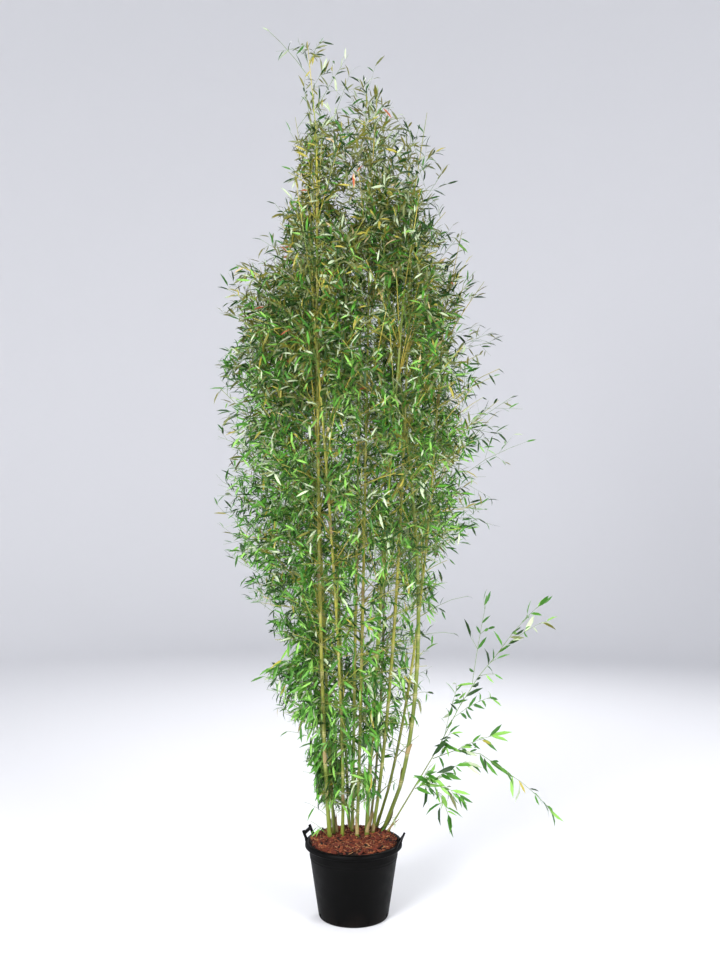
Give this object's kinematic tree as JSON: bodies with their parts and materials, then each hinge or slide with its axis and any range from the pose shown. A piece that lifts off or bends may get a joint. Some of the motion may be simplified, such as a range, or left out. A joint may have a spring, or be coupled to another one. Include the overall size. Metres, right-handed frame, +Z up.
{
  "type": "potted bamboo",
  "caption": "Tall clump-forming bamboo with upright culms and narrow leaves, growing in a tapered round nursery pot with grips.",
  "frame": {"origin": "centre of the pot's flat underside", "axes": "+Z up along the culms, +X to the right, +Y to the back, the side away from the long lower sprays being -X"},
  "size_m": [1.5783, 1.1517, 3.9945],
  "materials": {
    "pot_plastic": "black moulded polypropylene, satin, lightly scuffed",
    "potting_bark": "damp red-brown bark and coir chips, matt",
    "culm": "yellow-green waxy cane with pale rings at the knots",
    "side_shoot": "golden young cane, smooth",
    "foliage": "narrow matt green leaves on golden twigs"
  },
  "bodies": {
    "root": {"pot": "pot_plastic", "grip_left": "pot_plastic", "grip_right": "pot_plastic", "potting_bark": "potting_bark", "culm_01": "culm", "culm_02": "culm", "culm_03": "culm", "culm_04": "culm", "culm_05": "culm", "culm_06": "culm", "culm_07": "culm", "culm_08": "culm", "culm_09": "culm", "culm_10": "culm", "culm_11": "culm", "culm_12": "culm", "side_shoot": "side_shoot", "foliage_01_high": "foliage", "foliage_01_low": "foliage", "foliage_01_top": "foliage", "foliage_02_high": "foliage", "foliage_02_low": "foliage", "foliage_02_top": "foliage", "foliage_03_high": "foliage", "foliage_03_low": "foliage", "foliage_03_top": "foliage", "foliage_04_high": "foliage", "foliage_04_low": "foliage", "foliage_04_top": "foliage", "foliage_05_high": "foliage", "foliage_05_low": "foliage", "foliage_05_top": "foliage", "foliage_06_high": "foliage", "foliage_06_low": "foliage", "foliage_06_top": "foliage", "foliage_07_high": "foliage", "foliage_07_low": "foliage", "foliage_07_top": "foliage", "foliage_08_high": "foliage", "foliage_08_low": "foliage", "foliage_08_top": "foliage", "foliage_09_high": "foliage", "foliage_09_low": "foliage", "foliage_09_top": "foliage", "foliage_10_high": "foliage", "foliage_10_low": "foliage", "foliage_10_top": "foliage", "foliage_11_high": "foliage", "foliage_11_low": "foliage", "foliage_11_top": "foliage", "foliage_12_high": "foliage", "foliage_12_low": "foliage", "foliage_12_top": "foliage", "foliage_shoot_arching": "foliage", "foliage_shoot_low": "foliage", "foliage_shoot_rising": "foliage"}
  },
  "joints": []
}
